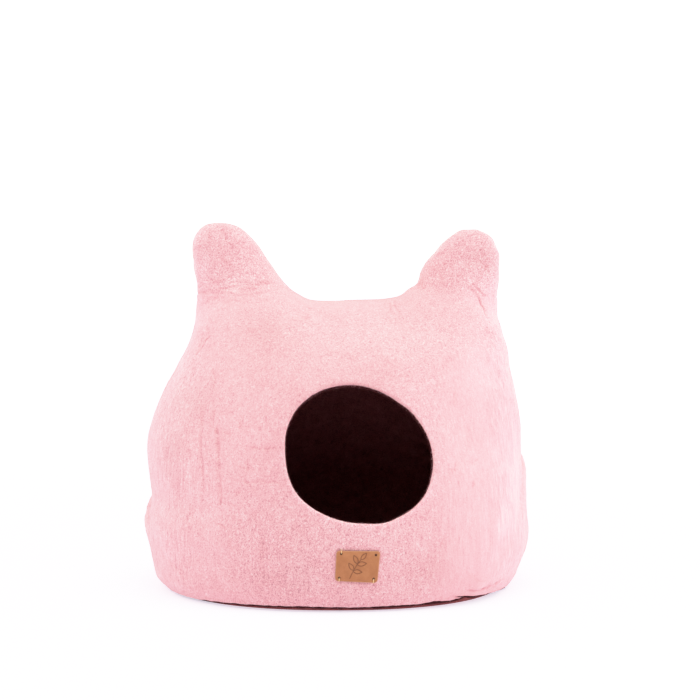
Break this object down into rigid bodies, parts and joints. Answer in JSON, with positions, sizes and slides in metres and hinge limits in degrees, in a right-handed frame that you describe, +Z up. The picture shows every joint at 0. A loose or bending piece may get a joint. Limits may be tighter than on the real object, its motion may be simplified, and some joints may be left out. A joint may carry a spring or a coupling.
{
  "type": "felt cat cave",
  "caption": "Hollow one-piece wool felt bed with a rounded entrance in its front wall, two rounded ear lobes on its crown and a small sewn leather patch, for a cat to sleep in.",
  "frame": {"origin": "on the floor, under the middle of the whole object's plan", "axes": "+Z up, -Y towards the viewer who faces the entrance, +X to that viewer's right"},
  "size_m": [0.4492, 0.421, 0.4209],
  "materials": {
    "felt": "matte pink wool felt outside, dark brown wool inside, at the cut rim and underneath",
    "leather": "smooth matte tan leather with a pressed line design"
  },
  "bodies": {
    "root": {"felt_body": "felt", "leather_patch": "leather"}
  },
  "joints": []
}
